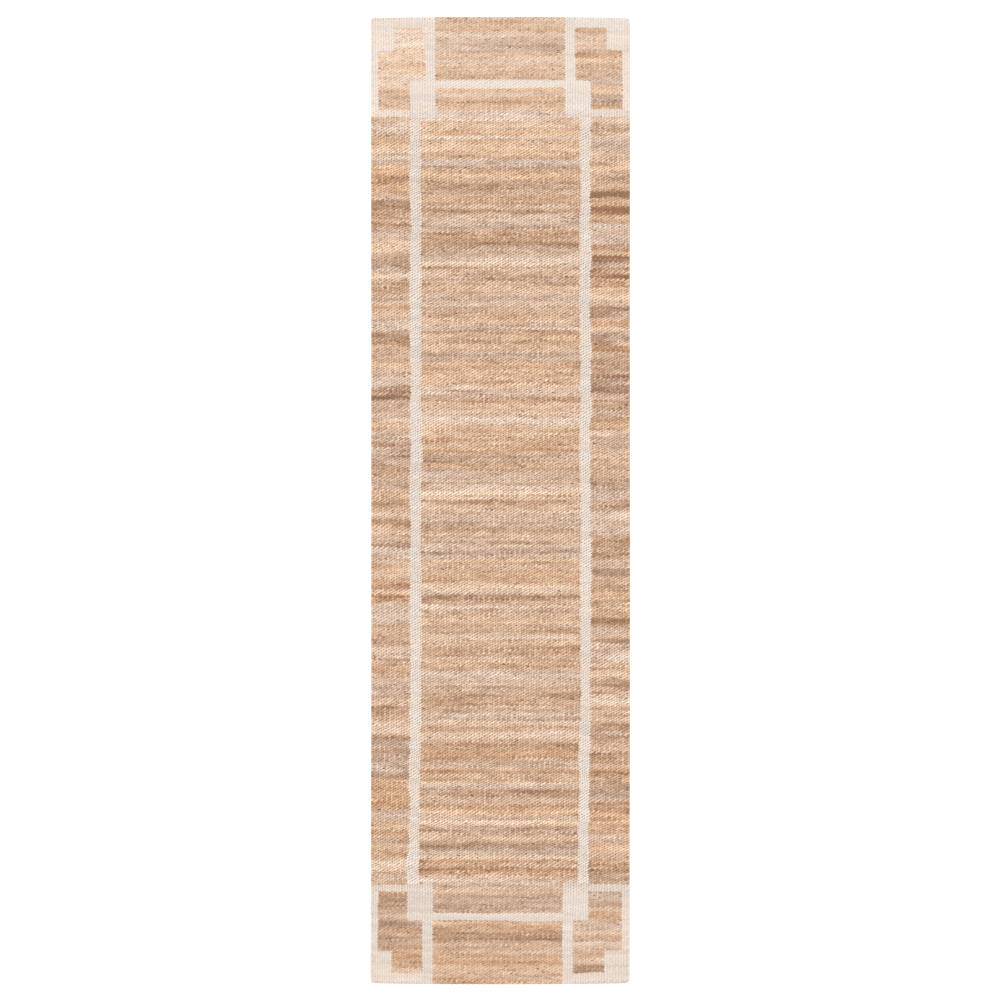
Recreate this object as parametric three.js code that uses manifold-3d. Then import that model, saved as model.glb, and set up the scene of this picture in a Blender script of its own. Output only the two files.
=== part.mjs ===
// Hand-woven flat-weave runner rug: jute ground with an ivory geometric frame.
//
// The frame: millimetres, +X across the rug, +Y along it, +Z up. The origin is the middle of
// the underside, so the rug lies on the plane z = 0.
//
// The weave is weft-faced, so every coloured area is its own length of packed weft yarn. Each
// area is one solid, and warp threads run through all of them from end to end, hidden inside.

import * as THREE from 'three';
import { mergeVertices } from 'three/addons/utils/BufferGeometryUtils.js';
import Module from 'manifold-3d';

const wasm = await Module();
wasm.setup();

// ---- driving dimensions ---------------------------------------------------------------------

const rugWidth = 804;
const rugLength = 3000;
const rugThickness = 6;

// Lines of the design, measured in from a side edge of the rug.
const edgeBandInner = 24.1;
const cornerBlockInner = 72.4;
const stripeOuter = 120.6;
const stripeInner = 156.8;
const uprightBandOuter = 168.8;
const uprightBandInner = 201;

// Lines of the design, measured in from an end of the rug.
const endBandInner = 32.9;
const cornerBlockEnd = 102.7;
const frameLineStart = 197.3;
const frameLineEnd = 221.9;
const crossbarStart = 287.7;
const crossbarEnd = 308.2;
const innerBlockEnd = 312.3;

const centreFieldBands = 7;
const centreWarpGroups = 5;

// Slit between two woven areas, and the play of every inner piece in its channel.
const slit = 0.3;
const clearance = 0.3;

// Warp threads lie side by side in flat groups, one group for each lane between design lines.
const warpThickness = 1;
const laneMargin = 1;
const warpEndMargin = 3;

// The selvedge cord stiffens each side edge.
const selvedgeCordRadius = 1.1;
const selvedgeCordInset = 3;
const selvedgeLaneWidth = 6;

// The turned-under hem lies in a step under each end, sewn up with one line of thread.
const hemDepth = 25;
const hemThickness = 2;
const hemSideMargin = 2;
const weaveOverHem = 0.4;
const threadRadius = 0.4;
const threadInset = 7;

// Every lengthwise channel starts at one height, above the step that the hem lies in.
const channelFloor = hemThickness + clearance + weaveOverHem;
const warpHeight = channelFloor + clearance + warpThickness / 2;
const selvedgeCordHeight = channelFloor + clearance + selvedgeCordRadius;

// ---- yarns ----------------------------------------------------------------------------------

const yarns = {
  jute: { color: 0xd4b399, roughness: 0.92, metalness: 0 },
  juteTan: { color: 0xcaa47f, roughness: 0.92, metalness: 0 },
  ivory: { color: 0xefe0d4, roughness: 0.9, metalness: 0 },
  warp: { color: 0xe3d6c2, roughness: 0.85, metalness: 0 },
  hem: { color: 0xc9a888, roughness: 0.92, metalness: 0 },
  thread: { color: 0x9a7a58, roughness: 0.8, metalness: 0 },
};

// ---- helpers --------------------------------------------------------------------------------

// A three.js geometry becomes a manifold solid once its shared corners are merged.
function toSolid(geometry) {
  const bare = geometry.clone();
  bare.deleteAttribute('normal');
  bare.deleteAttribute('uv');
  const merged = mergeVertices(bare);
  return new wasm.Manifold(new wasm.Mesh({
    numProp: 3,
    vertProperties: new Float32Array(merged.attributes.position.array),
    triVerts: new Uint32Array(merged.index.array),
  }));
}

function toGeometry(solid) {
  const mesh = solid.getMesh();
  const geometry = new THREE.BufferGeometry();
  geometry.setAttribute('position', new THREE.BufferAttribute(mesh.vertProperties, 3));
  geometry.setIndex(new THREE.BufferAttribute(mesh.triVerts, 1));
  geometry.computeVertexNormals();
  return geometry;
}

// A box given by its lowest and highest corners.
function block(low, high) {
  const geometry = new THREE.BoxGeometry(high[0] - low[0], high[1] - low[1], high[2] - low[2]);
  geometry.translate((low[0] + high[0]) / 2, (low[1] + high[1]) / 2, (low[2] + high[2]) / 2);
  return geometry;
}

// Moves every edge of a right-angled outline half a slit inwards, except where the edge lies on
// the border of the rug. Points are [distance from the left side, distance from the near end].
function insetOutline(points) {
  const area = points.reduce((sum, [x, y], i) => {
    const [nextX, nextY] = points[(i + 1) % points.length];
    return sum + x * nextY - nextX * y;
  }, 0);
  const inward = Math.sign(area) * slit / 2;
  const edges = points.map(([x, y], i) => {
    const [nextX, nextY] = points[(i + 1) % points.length];
    const upright = x === nextX;
    const place = upright ? x : y;
    const onBorder = place === 0 || place === (upright ? rugWidth : rugLength);
    const push = upright ? -Math.sign(nextY - y) * inward : Math.sign(nextX - x) * inward;
    return { upright, place: onBorder ? place : place + push };
  });
  return edges.map((edge, i) => {
    const before = edges[(i + edges.length - 1) % edges.length];
    return edge.upright ? [edge.place, before.place] : [before.place, edge.place];
  });
}

// The outline of an area, as a slab of the rug's full thickness.
function slab(points) {
  const shape = new THREE.Shape(insetOutline(points).map(([x, y]) =>
    new THREE.Vector2(x - rugWidth / 2, y - rugLength / 2)));
  return new THREE.ExtrudeGeometry(shape, { depth: rugThickness, bevelEnabled: false });
}

const flipX = (points) => points.map(([x, y]) => [rugWidth - x, y]);
const flipY = (points) => points.map(([x, y]) => [x, rugLength - y]);

// ---- outlines of the woven areas, for the near left corner or the left side -------------------

const cornerFigure = [
  [0, 0], [uprightBandOuter, 0], [uprightBandOuter, endBandInner],
  [cornerBlockInner, endBandInner], [cornerBlockInner, cornerBlockEnd],
  [edgeBandInner, cornerBlockEnd], [edgeBandInner, crossbarStart],
  [stripeOuter, crossbarStart], [stripeOuter, crossbarEnd], [0, crossbarEnd],
];

const cornerPanel = [
  [cornerBlockInner, endBandInner], [uprightBandOuter, endBandInner],
  [uprightBandOuter, frameLineStart], [stripeOuter, frameLineStart],
  [stripeOuter, crossbarStart], [edgeBandInner, crossbarStart],
  [edgeBandInner, cornerBlockEnd], [cornerBlockInner, cornerBlockEnd],
];

const frameBlock = [
  [uprightBandOuter, 0], [uprightBandInner, 0],
  [uprightBandInner, innerBlockEnd], [stripeOuter, innerBlockEnd],
  [stripeOuter, frameLineStart], [uprightBandOuter, frameLineStart],
];

const longStripe = [
  [stripeOuter, innerBlockEnd], [stripeInner, innerBlockEnd],
  [stripeInner, rugLength - innerBlockEnd], [stripeOuter, rugLength - innerBlockEnd],
];

const sideBorder = [
  [0, crossbarEnd], [stripeOuter, crossbarEnd],
  [stripeOuter, rugLength / 2], [0, rugLength / 2],
];

const endPanel = [
  [uprightBandInner, 0], [rugWidth - uprightBandInner, 0],
  [rugWidth - uprightBandInner, frameLineStart], [uprightBandInner, frameLineStart],
];

const frameLine = [
  [uprightBandInner, frameLineStart], [rugWidth - uprightBandInner, frameLineStart],
  [rugWidth - uprightBandInner, frameLineEnd], [uprightBandInner, frameLineEnd],
];

// A band of the centre field; the first one narrows between the inner blocks.
function centreBand(index) {
  const bandLength = (rugLength - 2 * frameLineEnd) / centreFieldBands;
  const start = frameLineEnd + index * bandLength;
  const end = start + bandLength;
  if (index > 0) {
    return [
      [stripeInner, start], [rugWidth - stripeInner, start],
      [rugWidth - stripeInner, end], [stripeInner, end],
    ];
  }
  return [
    [uprightBandInner, start], [rugWidth - uprightBandInner, start],
    [rugWidth - uprightBandInner, innerBlockEnd], [rugWidth - stripeInner, innerBlockEnd],
    [rugWidth - stripeInner, end], [stripeInner, end],
    [stripeInner, innerBlockEnd], [uprightBandInner, innerBlockEnd],
  ];
}

// ---- inner pieces: warp groups, selvedge cords, hems ------------------------------------------

// Lanes between the design lines, from side to side: [left, right] distances from the left side.
function warpLanes() {
  const leftLines = [
    selvedgeLaneWidth, edgeBandInner, cornerBlockInner,
    stripeOuter, stripeInner, uprightBandOuter, uprightBandInner,
  ];
  const centreWidth = (rugWidth - 2 * uprightBandInner) / centreWarpGroups;
  const centreLines = Array.from({ length: centreWarpGroups - 1 }, (_, i) =>
    uprightBandInner + (i + 1) * centreWidth);
  const rightLines = leftLines.map((line) => rugWidth - line).reverse();
  const lines = [...leftLines, ...centreLines, ...rightLines];
  return lines.slice(1).map((line, i) => [lines[i], line]);
}

// A flat group of warp threads; grow widens it into the channel that it lies in.
function warpGroup([left, right], grow) {
  const halfLength = rugLength / 2 - warpEndMargin + grow;
  return block(
    [left + laneMargin - grow - rugWidth / 2, -halfLength, warpHeight - warpThickness / 2 - grow],
    [right - laneMargin + grow - rugWidth / 2, halfLength, warpHeight + warpThickness / 2 + grow],
  );
}

// A cord along one side edge; side is -1 on the left and 1 on the right.
function selvedgeCord(side, grow) {
  const radius = selvedgeCordRadius + grow;
  const length = rugLength - 2 * warpEndMargin + 2 * grow;
  const cord = new THREE.CylinderGeometry(radius, radius, length, 12);
  cord.translate(side * (rugWidth / 2 - selvedgeCordInset), 0, selvedgeCordHeight);
  return cord;
}

// The hem under one end, or the step above it; end is -1 at the near end and 1 at the far end.
function hem(end, grow) {
  const outer = rugLength / 2;
  const inner = outer - hemDepth - grow;
  const halfWidth = rugWidth / 2 - hemSideMargin + grow;
  return block(
    [-halfWidth, Math.min(end * outer, end * inner), 0],
    [halfWidth, Math.max(end * outer, end * inner), hemThickness + grow],
  );
}

// The line of sewing thread in the hem's underside, or the groove that it is pulled into.
function hemThread(end) {
  const length = rugWidth - 2 * (hemSideMargin + laneMargin);
  const thread = new THREE.CylinderGeometry(threadRadius, threadRadius, length, 8);
  thread.rotateZ(Math.PI / 2);
  thread.translate(0, end * (rugLength / 2 - threadInset), threadRadius);
  return thread;
}

function threadGroove(end) {
  const middle = end * (rugLength / 2 - threadInset);
  const halfWidth = rugWidth / 2;
  const reach = threadRadius + clearance;
  return block([-halfWidth, middle - reach, -1], [halfWidth, middle + reach, threadRadius + reach]);
}

// ---- assembly -------------------------------------------------------------------------------

const rug = new THREE.Group();

function addPiece(name, geometry, yarn) {
  const mesh = new THREE.Mesh(geometry, new THREE.MeshStandardMaterial(yarns[yarn]));
  mesh.name = name;
  rug.add(mesh);
}

const lanes = warpLanes();
const channels = [
  ...lanes.map((lane) => warpGroup(lane, clearance)),
  selvedgeCord(-1, clearance), selvedgeCord(1, clearance),
  hem(-1, clearance), hem(1, clearance),
].map(toSolid);

// A woven area is its slab, less the channels of the inner pieces that pass through it.
function addWeave(name, outline, yarn) {
  const woven = channels.reduce((solid, channel) => solid.subtract(channel), toSolid(slab(outline)));
  addPiece(name, toGeometry(woven), yarn);
}

for (let band = 0; band < centreFieldBands - 1; band += 1) {
  addWeave(`centre_field_${band + 1}`, centreBand(band), band % 2 ? 'juteTan' : 'jute');
}
addWeave(`centre_field_${centreFieldBands}`, flipY(centreBand(0)), 'jute');

addWeave('long_stripe_left', longStripe, 'ivory');
addWeave('long_stripe_right', flipX(longStripe), 'ivory');

for (const [end, toEnd] of [['near', (points) => points], ['far', flipY]]) {
  addWeave(`end_panel_${end}`, toEnd(endPanel), 'jute');
  addWeave(`frame_line_${end}`, toEnd(frameLine), 'ivory');
  for (const [side, toSide] of [['left', (points) => points], ['right', flipX]]) {
    addWeave(`corner_figure_${end}_${side}`, toEnd(toSide(cornerFigure)), 'ivory');
    addWeave(`frame_block_${end}_${side}`, toEnd(toSide(frameBlock)), 'ivory');
    addWeave(`corner_panel_${end}_${side}`, toEnd(toSide(cornerPanel)), 'juteTan');
    addWeave(`side_border_${end}_${side}`, toEnd(toSide(sideBorder)), 'jute');
  }
}

lanes.forEach((lane, i) => {
  addPiece(`warp_group_${String(i + 1).padStart(2, '0')}`, warpGroup(lane, 0), 'warp');
});

for (const [side, sign] of [['left', -1], ['right', 1]]) {
  addPiece(`selvedge_cord_${side}`, selvedgeCord(sign, 0), 'warp');
}

for (const [end, sign] of [['near', -1], ['far', 1]]) {
  const sewnHem = toSolid(hem(sign, 0)).subtract(toSolid(threadGroove(sign)));
  addPiece(`hem_${end}`, toGeometry(sewnHem), 'hem');
  addPiece(`hem_thread_${end}`, hemThread(sign), 'thread');
}

export default rug;
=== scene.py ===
# %% [markdown]
# # A hand-woven jute runner
#
# The rug is a weft-faced flat weave. Thick jute and ivory yarns, the weft, go over one hidden
# warp thread and under the next, and are beaten down so hard that only they show.
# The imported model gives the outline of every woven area. This lesson fills those outlines with
# real weave: one grid of threads for the whole rug, raised into yarn humps with numpy.

# %% Load the frame
import math

import bpy
import numpy as np
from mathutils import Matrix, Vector
from mathutils.bvhtree import BVHTree


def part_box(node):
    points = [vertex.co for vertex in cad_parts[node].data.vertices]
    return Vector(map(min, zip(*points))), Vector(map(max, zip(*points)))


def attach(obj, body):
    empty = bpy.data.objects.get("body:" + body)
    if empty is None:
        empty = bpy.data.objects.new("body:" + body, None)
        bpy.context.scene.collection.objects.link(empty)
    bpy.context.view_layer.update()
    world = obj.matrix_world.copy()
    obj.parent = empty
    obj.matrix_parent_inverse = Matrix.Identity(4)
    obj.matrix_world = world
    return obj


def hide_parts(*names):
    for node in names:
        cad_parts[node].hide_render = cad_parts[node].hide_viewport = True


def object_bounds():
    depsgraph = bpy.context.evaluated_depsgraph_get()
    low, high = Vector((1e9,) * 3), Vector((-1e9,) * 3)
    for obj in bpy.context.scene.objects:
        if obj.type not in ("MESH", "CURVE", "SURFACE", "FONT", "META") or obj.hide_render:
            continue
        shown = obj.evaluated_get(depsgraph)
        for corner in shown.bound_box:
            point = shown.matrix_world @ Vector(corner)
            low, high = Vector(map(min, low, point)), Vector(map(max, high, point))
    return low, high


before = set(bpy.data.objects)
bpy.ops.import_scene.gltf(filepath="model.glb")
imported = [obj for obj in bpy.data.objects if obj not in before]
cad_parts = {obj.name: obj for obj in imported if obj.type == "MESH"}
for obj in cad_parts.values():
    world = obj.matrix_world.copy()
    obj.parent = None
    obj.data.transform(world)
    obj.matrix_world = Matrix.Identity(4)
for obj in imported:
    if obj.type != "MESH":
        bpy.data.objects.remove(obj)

cad_box = [list(corner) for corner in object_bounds()]
low, high = (np.array(corner) for corner in cad_box)
rug_width, rug_length, rug_thickness = high - low
print("rug, metres:", rug_width.round(3), rug_length.round(3), rug_thickness.round(4))

# %% [markdown]
# ## Threads
#
# A weaver counts a design in threads, not in millimetres: so many warps across, so many picks
# of weft along. Everything below is placed by those two counts, which keeps the areas of
# colour, the yarn humps and the stripes in step with one another.

# %% Count the warps and the picks
WARP_PITCH = 0.00804
PICK_PITCH = 0.00411
COLUMNS_PER_WARP = 4
ROWS_PER_PICK = 2

warp_count = round(rug_width / WARP_PITCH)
pick_count = round(rug_length / PICK_PITCH)
warp_pitch, pick_pitch = rug_width / warp_count, rug_length / pick_count
columns, rows = warp_count * COLUMNS_PER_WARP, pick_count * ROWS_PER_PICK

# Place of every grid point, in warps from the left edge and in picks from the near end.
warp_place, pick_place = np.meshgrid(
    np.arange(columns + 1) / COLUMNS_PER_WARP, np.arange(rows + 1) / ROWS_PER_PICK)
print(warp_count, "warps,", pick_count, "picks,", warp_place.size, "grid points")

# %% [markdown]
# ## The design
#
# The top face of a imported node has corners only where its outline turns. Lines through those
# corners cut the node's box into a few blocks, and a ray dropped on the middle of each block
# says whether the node fills it. The blocks that it fills are the area, in whole threads.

# %% Find the threads that each woven area covers
WOVEN = ("centre_field", "end_panel", "corner_panel", "side_border",
         "corner_figure", "frame_block", "frame_line", "long_stripe")
IVORY = ("corner_figure", "frame_block", "frame_line", "long_stripe")
COARSE = 2                           # the underside has one point to every two of the face, each way
SAME_HEIGHT = 1e-5                   # metres within which a corner counts as on the top face
RAY_START, RAY_REACH = 0.01, 0.0105  # a ray starts this far above the face, and ends just inside


def thread_cells(node):
    """True for each cell of the grid that lies in the node's outline: a block between two
    neighbouring lines each way is in it when a ray dropped on its middle meets the node."""
    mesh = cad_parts[node].data
    points = np.empty(len(mesh.vertices) * 3)
    mesh.vertices.foreach_get("co", points)
    points = points.reshape(-1, 3)
    turns = points[points[:, 2] > high[2] - SAME_HEIGHT]
    lines = [np.unique(turns[:, axis].round(5)) for axis in (0, 1)]
    tree = BVHTree.FromPolygons(
        [Vector(p) for p in points], [tuple(face.vertices) for face in mesh.polygons])
    cells = np.zeros((rows, columns), bool)
    sizes = (warp_pitch * COARSE / COLUMNS_PER_WARP, pick_pitch * COARSE / ROWS_PER_PICK)
    for x0, x1 in zip(lines[0][:-1], lines[0][1:]):
        for y0, y1 in zip(lines[1][:-1], lines[1][1:]):
            above = Vector(((x0 + x1) / 2, (y0 + y1) / 2, high[2] + RAY_START))
            if tree.ray_cast(above, Vector((0, 0, -1)), RAY_REACH)[0] is None:
                continue
            c0, c1 = (COARSE * round((x - low[0]) / sizes[0]) for x in (x0, x1))
            r0, r1 = (COARSE * round((y - low[1]) / sizes[1]) for y in (y0, y1))
            cells[r0:r1, c0:c1] = True
    return cells


areas = {name: thread_cells(name) for name in sorted(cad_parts) if name.startswith(WOVEN)}
ivory_cells = sum(cells for name, cells in areas.items() if name.startswith(IVORY)).astype(bool)
covered = sum(cells.astype(int) for cells in areas.values())
print(len(areas), "woven areas; cells left bare or taken twice:", int((covered != 1).sum()))

# %% [markdown]
# ## Hand-made unevenness
#
# Nothing on a hand loom is quite straight. Value noise, a table of random numbers blended
# smoothly between its entries, gives that unevenness at any scale, and the same seed always
# gives the same rug.

# %% Smooth random drift
TABLE_SIZE = 509


def drift(across, along, seed):
    """Smooth random numbers from -1 to 1: one number to each whole step of across and along,
    from a seeded table, blended from corner to corner with an S-curve."""
    table = np.random.default_rng(seed).uniform(-1, 1, (TABLE_SIZE, TABLE_SIZE))
    i, j = np.floor(across).astype(int), np.floor(along).astype(int)
    s, t = across - i, along - j
    s, t = s * s * (3 - 2 * s), t * t * (3 - 2 * t)
    i0, i1, j0, j1 = i % TABLE_SIZE, (i + 1) % TABLE_SIZE, j % TABLE_SIZE, (j + 1) % TABLE_SIZE
    return ((table[i0, j0] * (1 - s) + table[i1, j0] * s) * (1 - t)
            + (table[i0, j1] * (1 - s) + table[i1, j1] * s) * t)


def ease(value, start, end):
    """From 0 at start to 1 at end, with no corner at either."""
    t = np.clip((value - start) / (end - start), 0, 1)
    return t * t * (3 - 2 * t)


print("drift, least and most over one row:", *np.round(
    [extreme(drift(np.arange(0, 90, 0.1), np.zeros(900), 1)) for extreme in (np.min, np.max)], 2))

# %% [markdown]
# ## Where the threads run
#
# The grid starts regular. Near each outer edge its first lines are drawn together, because a
# rounded edge needs more of them. Then the figure leans a little, the ends bow, and every
# thread wanders by a fraction of a millimetre.

# %% Lay out the grid
EDGE_GATHER = 1.6                    # power that draws the outermost lines together
EDGE_ROWS = 2                        # picks that take part at each end


def gathered(place, count, reach):
    """Thread places with those within reach of either edge drawn towards it: t to a power."""
    near = np.clip(place / reach, 0, 1) ** EDGE_GATHER * reach
    far = count - np.clip((count - place) / reach, 0, 1) ** EDGE_GATHER * reach
    return np.where(place < reach, near, np.where(place > count - reach, far, place))


grid_x = low[0] + gathered(warp_place, warp_count, 1) * warp_pitch
grid_y = low[1] + gathered(pick_place, pick_count, EDGE_ROWS) * pick_pitch
laid_x = grid_x[0].copy()            # where the lines lie before anything moves them
from_side = np.minimum(warp_place, warp_count - warp_place)
from_end = np.minimum(pick_place, pick_count - pick_place)
side_distance = np.minimum(grid_x - low[0], high[0] - grid_x)
end_distance = np.minimum(grid_y - low[1], high[1] - grid_y)
print("closest lines at the edge, mm:", (side_distance[0, :5] * 1000).round(2))

# %% Let the figure lean and the ends bow
LEAN = 0.0075                        # how far the figure leans left at the near end
LEAN_START, LEAN_END = 0.03, 0.38    # shares of the length between which it straightens
FIGURE_BULGE = 0.0026                # how far it bows right half way along
LEFT_BULGE, RIGHT_BULGE = 0.0032, 0.0005    # the same for the two side edges
SIDE_WARPS = 12                      # warps from a side to where the figure's own lean holds
SIDE_WANDER, SIDE_WAVES = 0.0010, 7  # how far the sides wander, and how often along the rug
END_BOW, BOW_PICKS = 0.0032, 40      # how far an end bows, and the picks over which it fades

along = pick_place / pick_count
inside = ease(from_side, 0, SIDE_WARPS)
bulge = np.sin(math.pi * along)
side_bulge = np.where(warp_place < warp_count / 2, LEFT_BULGE, RIGHT_BULGE) * bulge
figure_lean = FIGURE_BULGE * bulge - LEAN * (1 - ease(along, LEAN_START, LEAN_END))
lean = side_bulge * (1 - inside) + figure_lean * inside
side = np.sign(warp_place - warp_count / 2)
side_wave = SIDE_WANDER * drift(along * SIDE_WAVES, side * 3.3, 11)
across = 2 * np.abs(warp_place / warp_count - 0.5)
bow = -END_BOW * across ** 3 * np.exp(-from_end / BOW_PICKS) * np.sign(pick_place - pick_count / 2)
print("largest lean and bow, mm:", *(np.abs([lean.min(), bow.min()]) * 1000).round(2))

# %% Let the threads wander
FRAME_PICKS = 76                     # picks from an end to the inside of its frame
PICK_STRETCH = 0.0036                # looser and tighter beating, between the two frames
# Each wave: (warps long, picks long, metres, seed). The last three waves of the picks are thick
# and thin lengths of yarn, which make the picks open out and close up.
WARP_WAVES = ((9, 60, 0.0010, 12), (6, 11, 0.0008, 16), (1.7, 2.6, 0.0009, 18))
PICK_WAVES = ((40, 9, 0.0012, 13), (22, 4, 0.0022, 17),
              (9, 2.3, 0.00077, 14), (2.3, 1.6, 0.000726, 20))


def waves(table):
    """The sum over the table of metres times drift, with the stated warps and picks to a step."""
    return sum(size * drift(warp_place / warps, pick_place / picks, seed)
               for warps, picks, size, seed in table)


warp_wave = ease(from_side, 0, 3) * waves(WARP_WAVES)
beaten = PICK_STRETCH * ease(from_end, FRAME_PICKS, FRAME_PICKS + 34)
pick_wave = (beaten * drift(warp_place / 70, pick_place / 16, 19)
             + ease(from_end, 0, 6) * waves(PICK_WAVES))
grid_x = grid_x + lean + side_wave + warp_wave
grid_y = grid_y + bow + pick_wave
print("largest sideways shift, mm:", np.abs(lean + side_wave + warp_wave).max() * 1000)
print("closest grid lines, mm:", np.diff(grid_x, axis=1)[:, 4:-4].min() * 1000,
      np.diff(grid_y, axis=0)[4:-4].min() * 1000)

# %% [markdown]
# ## Joins between two colours
#
# Where ivory meets jute the two wefts turn round neighbouring warps, pick by pick. The line
# between them is therefore toothed, one tooth to a pick along the rug, and one to a warp
# across it. Grid points on a join step to and fro, and their neighbours follow part of the way.

# %% Find the joins
scatter_table = np.random.default_rng(5).uniform(-1, 1, (TABLE_SIZE, TABLE_SIZE))


def scatter(i, j):
    """An unrelated number from -1 to 1 for each pair of whole numbers."""
    return scatter_table[i % TABLE_SIZE, j % TABLE_SIZE]


upright = np.zeros((rows, columns + 1), bool)       # joins that run along the rug
upright[:, 1:-1] = ivory_cells[:, 1:] != ivory_cells[:, :-1]
level = np.zeros((rows + 1, columns), bool)         # joins that run across it
level[1:-1] = ivory_cells[1:] != ivory_cells[:-1]
print("cells beside a join:", int(upright.sum()), "along,", int(level.sum()), "across")

# %% Let the long joins wander
# The weaver does not turn on the same warp every time, so a long join is never straight.
JOIN_WANDER = 0.0034
JOIN_WAVES = ((22, 1.0, 41), (5, 0.8, 42))      # (picks long, share of the wander, seed)
JOIN_REACH = 2.1                     # warps on each side that follow
JOIN_CALM = 0.25                     # share of the wander that is left near the ends
STRIPE_PULL = 0.0012                 # the ivory stripes come out this much narrower each side

middle_row = rows // 2
in_middle = JOIN_CALM + (1 - JOIN_CALM) * ease(from_end, FRAME_PICKS - 6, FRAME_PICKS + 12)
long_joins = np.flatnonzero(upright[middle_row])
for column in long_joins:
    inward = 1 if ivory_cells[middle_row, column] else -1
    place = column / COLUMNS_PER_WARP
    wander = STRIPE_PULL * inward + JOIN_WANDER * sum(
        share * drift(np.full_like(pick_place, place), pick_place / picks, seed)
        for picks, share, seed in JOIN_WAVES)
    grid_x = grid_x + in_middle * wander * np.exp(-((warp_place - place) / JOIN_REACH) ** 2)
print("long joins, in warps from the left:", long_joins / COLUMNS_PER_WARP)

# %% Cut the teeth
TOOTH_ACROSS = 0.33                  # in warps
TOOTH_ALONG = 0.36                   # in picks
TOOTH_SIZE, TOOTH_VARIETY = 0.9, 0.7    # shares of that which every tooth has, and which vary
LEVEL_VARIETY = 0.4                  # the share that varies on a join across the rug
BETWEEN_TEETH = 0.2                  # how much the points between two teeth vary
FOLLOWERS = ((1, 0.62), (2, 0.3), (3, 0.1))     # (grid steps away, share of the shift)


def spread(shift, axis):
    """Adds to each point a share of its neighbours' shifts."""
    total = shift.copy()
    for steps, share in FOLLOWERS:
        total += share * (np.roll(shift, steps, axis) + np.roll(shift, -steps, axis))
    return total


half_warp = np.round(warp_place * 2).astype(int)
half_pick = np.round(pick_place * 2).astype(int)
left_warp, pick_index = (half_warp + 1) // 2 - 1, half_pick // 2
tooth_side = np.where((left_warp + pick_index) % 2 == 0, 1, -1)
tooth_x = np.zeros_like(grid_x)
tooth_x[1:-1] = upright[1:] & upright[:-1]
tooth_x *= tooth_side * (TOOTH_SIZE + TOOTH_VARIETY * scatter(half_warp, half_pick))
small = BETWEEN_TEETH * scatter(half_warp, half_pick) * (tooth_x != 0)
tooth_x = np.where(half_pick % 2 == 0, small, tooth_x)
below_pick = (half_pick + 1) // 2 - 1
tooth_y = np.zeros_like(grid_y)
tooth_y[:, 1:-1] = level[:, 1:] & level[:, :-1]
tooth_y *= np.where((np.floor(warp_place).astype(int) + below_pick) % 2 == 0, 1, -1)
tooth_y *= np.sin(math.pi * warp_place) ** 2 * (1 + LEVEL_VARIETY * scatter(half_warp + 7, half_pick))
grid_x = grid_x + spread(tooth_x, 1) * TOOTH_ACROSS * warp_pitch
grid_y = grid_y + spread(tooth_y, 0) * TOOTH_ALONG * pick_pitch
print("toothed points:", int((tooth_x != 0).sum()), "along,", int((tooth_y != 0).sum()), "across")

# %% [markdown]
# ## Humps of yarn
#
# In plain weave the yarn of a pick rises over a warp where the count of warps plus picks is
# even, and dives under the next. The face at any point is whichever yarn stands highest there:
# work out the height of three neighbouring picks and keep the largest. The same formula is
# used again in the materials, so it takes its cosine and sine as arguments.

# %% One yarn, and the highest of three
HUMP_LIFT = 0.52                     # share of the height that is the swing over the warp
HUMP_BODY = 0.48                     # share that is the yarn's own round section
HUMP_NARROW, HUMP_WIDEN = 0.55, 0.50     # half height of the yarn, down and extra when up
TWIST_LEAN = 0.30                    # picks that a hump climbs to each side of its middle
HUMP_VARIETY = 0.21                  # how much higher or lower one hump stands than another


def yarn_height(across, along, pick, cos, sin):
    """How high the yarn of a pick stands, up to 1 on a hump: lift times a raised cosine of
    the place across, plus body times 1 - (distance from its middle line / half height)^2.
    The middle line leans by a sine, which is the twist."""
    swing = (across - 0.5 - pick) * math.pi
    up = cos(swing) * 0.5 + 0.5
    away = along - 0.5 - pick - sin(swing) * TWIST_LEAN
    reach = away / (up * HUMP_WIDEN + HUMP_NARROW)
    return up * HUMP_LIFT + (1 - reach * reach) * HUMP_BODY


def highest_yarn(across, along):
    """Height of the yarn on top at each point, its pick, and the warp that it humps over: the
    largest of the yarn heights of three neighbouring picks, each with its hump's own scatter."""
    middle_pick = np.floor(along).astype(int)
    picks = np.stack([middle_pick - 1, middle_pick, middle_pick + 1])
    warps = (2 * np.round((across - 0.5 - picks) / 2)).astype(int) + picks
    heights = yarn_height(across, along, picks, np.cos, np.sin)
    heights = heights + HUMP_VARIETY * scatter(warps, picks)
    best = heights.argmax(axis=0)[None]
    return [np.take_along_axis(each, best, axis=0)[0] for each in (heights, picks, warps)]


hump, top_pick, top_warp = highest_yarn(warp_place, pick_place)
under_hump = highest_yarn(warp_place + 1, pick_place)[0]
print("hump heights:", hump.min().round(2), "to", hump.max().round(2))

# %% Ribbed blocks and calm ends
# In the solid ivory blocks the picks are beaten so close that upright ribs show between them.
RIB_SHARE = 0.48                     # how much of the blocks' relief is upright ribs
RIB_MIDDLE, RIB_SWING = 0.62, 0.38   # their height is the middle plus the swing times a cosine


def point_mask(cells):
    """Grid points that touch any of the cells."""
    wide = np.pad(cells, 1)
    return wide[1:, 1:] | wide[:-1, 1:] | wide[1:, :-1] | wide[:-1, :-1]


block_cells = sum(cells for name, cells in areas.items()
                  if name.startswith(("corner_figure", "frame_block"))).astype(bool)
block_points = point_mask(block_cells)
rib = RIB_MIDDLE + RIB_SWING * np.cos(2 * math.pi * (warp_place - 0.5))
face_hump = np.where(block_points, (1 - RIB_SHARE) * hump + RIB_SHARE * rib, hump)
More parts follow.
